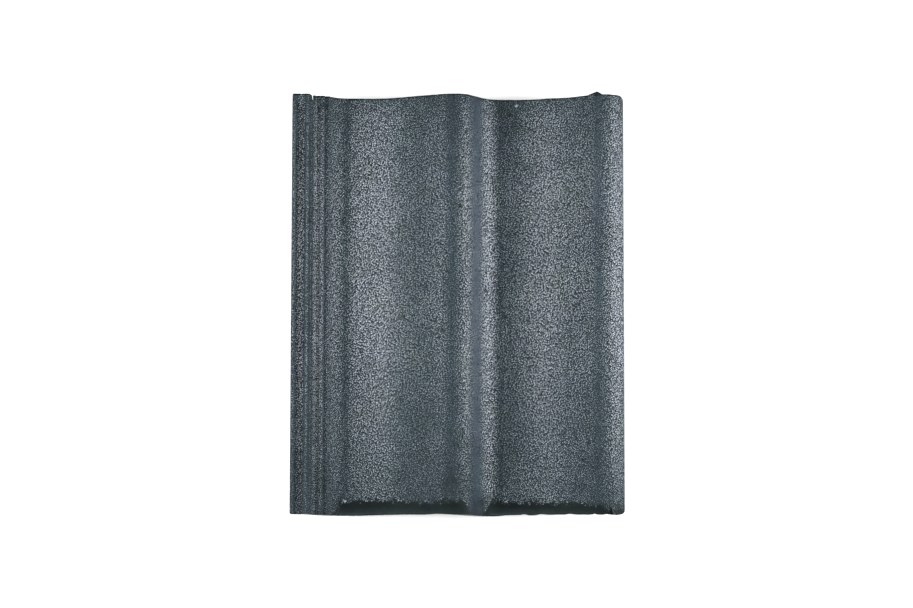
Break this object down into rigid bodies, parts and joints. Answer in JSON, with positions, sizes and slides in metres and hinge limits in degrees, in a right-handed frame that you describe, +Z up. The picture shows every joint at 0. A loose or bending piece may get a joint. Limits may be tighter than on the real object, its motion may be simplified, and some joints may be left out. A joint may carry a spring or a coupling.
{
  "type": "interlocking roof tile",
  "caption": "Interlocking roof tile with waved pans and rolls, a granular face, a ribbed side lock, an overlapping edge roll, a bevelled nose and batten nibs.",
  "frame": {"origin": "on the floor below the middle of the tile's box, with the tile lying level on its nibs and weather bar", "axes": "+X across the tile from the side lock to the edge roll, +Y along it from the tail to the head, +Z up out of the weathered face"},
  "size_m": [0.33, 0.421, 0.058],
  "materials": {
    "granular_concrete": "slate-grey stone granules bonded to a cast concrete body, with a smooth dark slurry on the nose bevel"
  },
  "bodies": {
    "root": {"roof_tile": "granular_concrete"}
  },
  "joints": []
}
